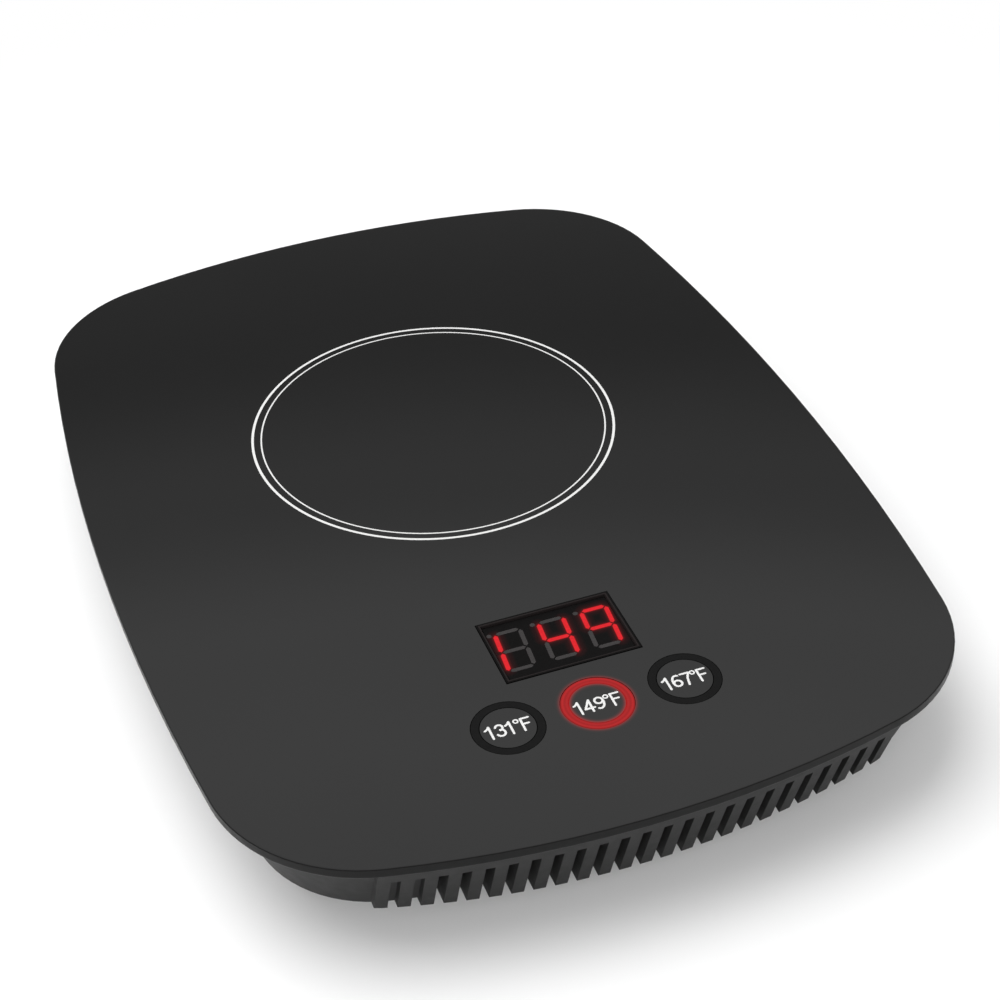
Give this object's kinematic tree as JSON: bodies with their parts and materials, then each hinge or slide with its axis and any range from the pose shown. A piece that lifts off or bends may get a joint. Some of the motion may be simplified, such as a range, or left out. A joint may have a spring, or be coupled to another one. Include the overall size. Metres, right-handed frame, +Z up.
{
  "type": "electric mug warmer",
  "caption": "Flat electric mug warmer: bowed black glass plate on a tapered vented case, with push keys, light rings, a numeric display, rubber feet and a rear cord gland.",
  "frame": {"origin": "on the table plane, under the middle of the plate", "axes": "+Z up out of the glass, -Y towards the keys at the front, +Y towards the cord gland, +X right"},
  "size_m": [0.122, 0.167, 0.0181],
  "materials": {
    "toughened_glass": "black-backed toughened glass, polished, opaque",
    "foam_tape": "black acrylic foam tape",
    "case_plastic": "black heat-resistant nylon, fine satin",
    "cover_plastic": "black nylon, fine texture",
    "foot_rubber": "dark grey silicone rubber",
    "key_plastic": "gloss black key cap",
    "ring_plastic": "smoked light ring, gloss",
    "dome_silicone": "milky silicone",
    "bezel_plastic": "black display frame",
    "display_face": "dark grey display face",
    "segment_lit": "red lit bar, emissive",
    "segment_unlit": "unlit diffuser",
    "board_laminate": "green solder mask",
    "chip_epoxy": "moulded epoxy",
    "led_resin": "clear chip",
    "nylon_white": "natural nylon",
    "lead_sheath": "silicone sheath",
    "terminal_green": "green moulding",
    "capacitor_yellow": "yellow film box",
    "capacitor_sleeve": "dark sleeve",
    "varistor_blue": "dipped coat",
    "ceramic_white": "white ceramic",
    "thermistor_bead": "dipped bead",
    "spreader_metal": "turned",
    "heater_mica": "mica laminate",
    "insulation_fibre": "ceramic fibre felt",
    "bond_silicone": "heat-conducting silicone",
    "clamp_steel": "galvanised sheet",
    "screw_steel": "zinc plated"
  },
  "bodies": {
    "housing": {"board_harness": "lead_sheath", "bottom_cover": "cover_plastic", "carrier_screws": "screw_steel", "case": "case_plastic", "control_board": "board_laminate", "control_board_screws": "screw_steel", "controller_chips": "chip_epoxy", "cord_clamp": "cover_plastic", "cord_clamp_screws": "screw_steel", "cord_gland": "case_plastic", "cover_screws": "screw_steel", "cutoff_strap": "clamp_steel", "display_bezel": "bezel_plastic", "display_module": "display_face", "display_segments_lit": "segment_lit", "display_segments_unlit": "segment_unlit", "film_capacitor": "capacitor_yellow", "foot_front_left": "foot_rubber", "foot_front_right": "foot_rubber", "foot_rear_left": "foot_rubber", "foot_rear_right": "foot_rubber", "glass_plate": "toughened_glass", "harness_sockets": "nylon_white", "heat_bond": "bond_silicone", "heat_spreader": "spreader_metal", "heater_clamp": "clamp_steel", "heater_clamp_screws": "screw_steel", "heater_element": "heater_mica", "heater_leads": "lead_sheath", "insulation_pad": "insulation_fibre", "key_carrier": "cover_plastic", "key_dome_131": "dome_silicone", "key_dome_149": "dome_silicone", "key_dome_167": "dome_silicone", "light_ring_131": "ring_plastic", "light_ring_149": "ring_plastic", "light_ring_167": "ring_plastic", "mains_fuse": "ceramic_white", "plate_tape": "foam_tape", "power_board": "board_laminate", "power_board_screws": "screw_steel", "power_switch": "chip_epoxy", "ring_leds": "led_resin", "sensor_leads": "lead_sheath", "smoothing_capacitor": "capacitor_sleeve", "terminal_block": "terminal_green", "thermal_cutoff": "ceramic_white", "thermistor": "thermistor_bead", "varistor": "varistor_blue"},
    "key_131": {"key_cap_131": "key_plastic"},
    "key_149": {"key_cap_149": "key_plastic"},
    "key_167": {"key_cap_167": "key_plastic"}
  },
  "joints": [
    {"name": "press_131", "type": "slide", "parent": "housing", "child": "key_131", "axis": [0, 0, -1], "range_m": [0, 0.0008], "stiffness_N_per_m": 800, "springref_m": -0.0005, "deforming": ["key_dome_131"]},
    {"name": "press_149", "type": "slide", "parent": "housing", "child": "key_149", "axis": [0, 0, -1], "range_m": [0, 0.0008], "stiffness_N_per_m": 800, "springref_m": -0.0005, "deforming": ["key_dome_149"]},
    {"name": "press_167", "type": "slide", "parent": "housing", "child": "key_167", "axis": [0, 0, -1], "range_m": [0, 0.0008], "stiffness_N_per_m": 800, "springref_m": -0.0005, "deforming": ["key_dome_167"]}
  ]
}
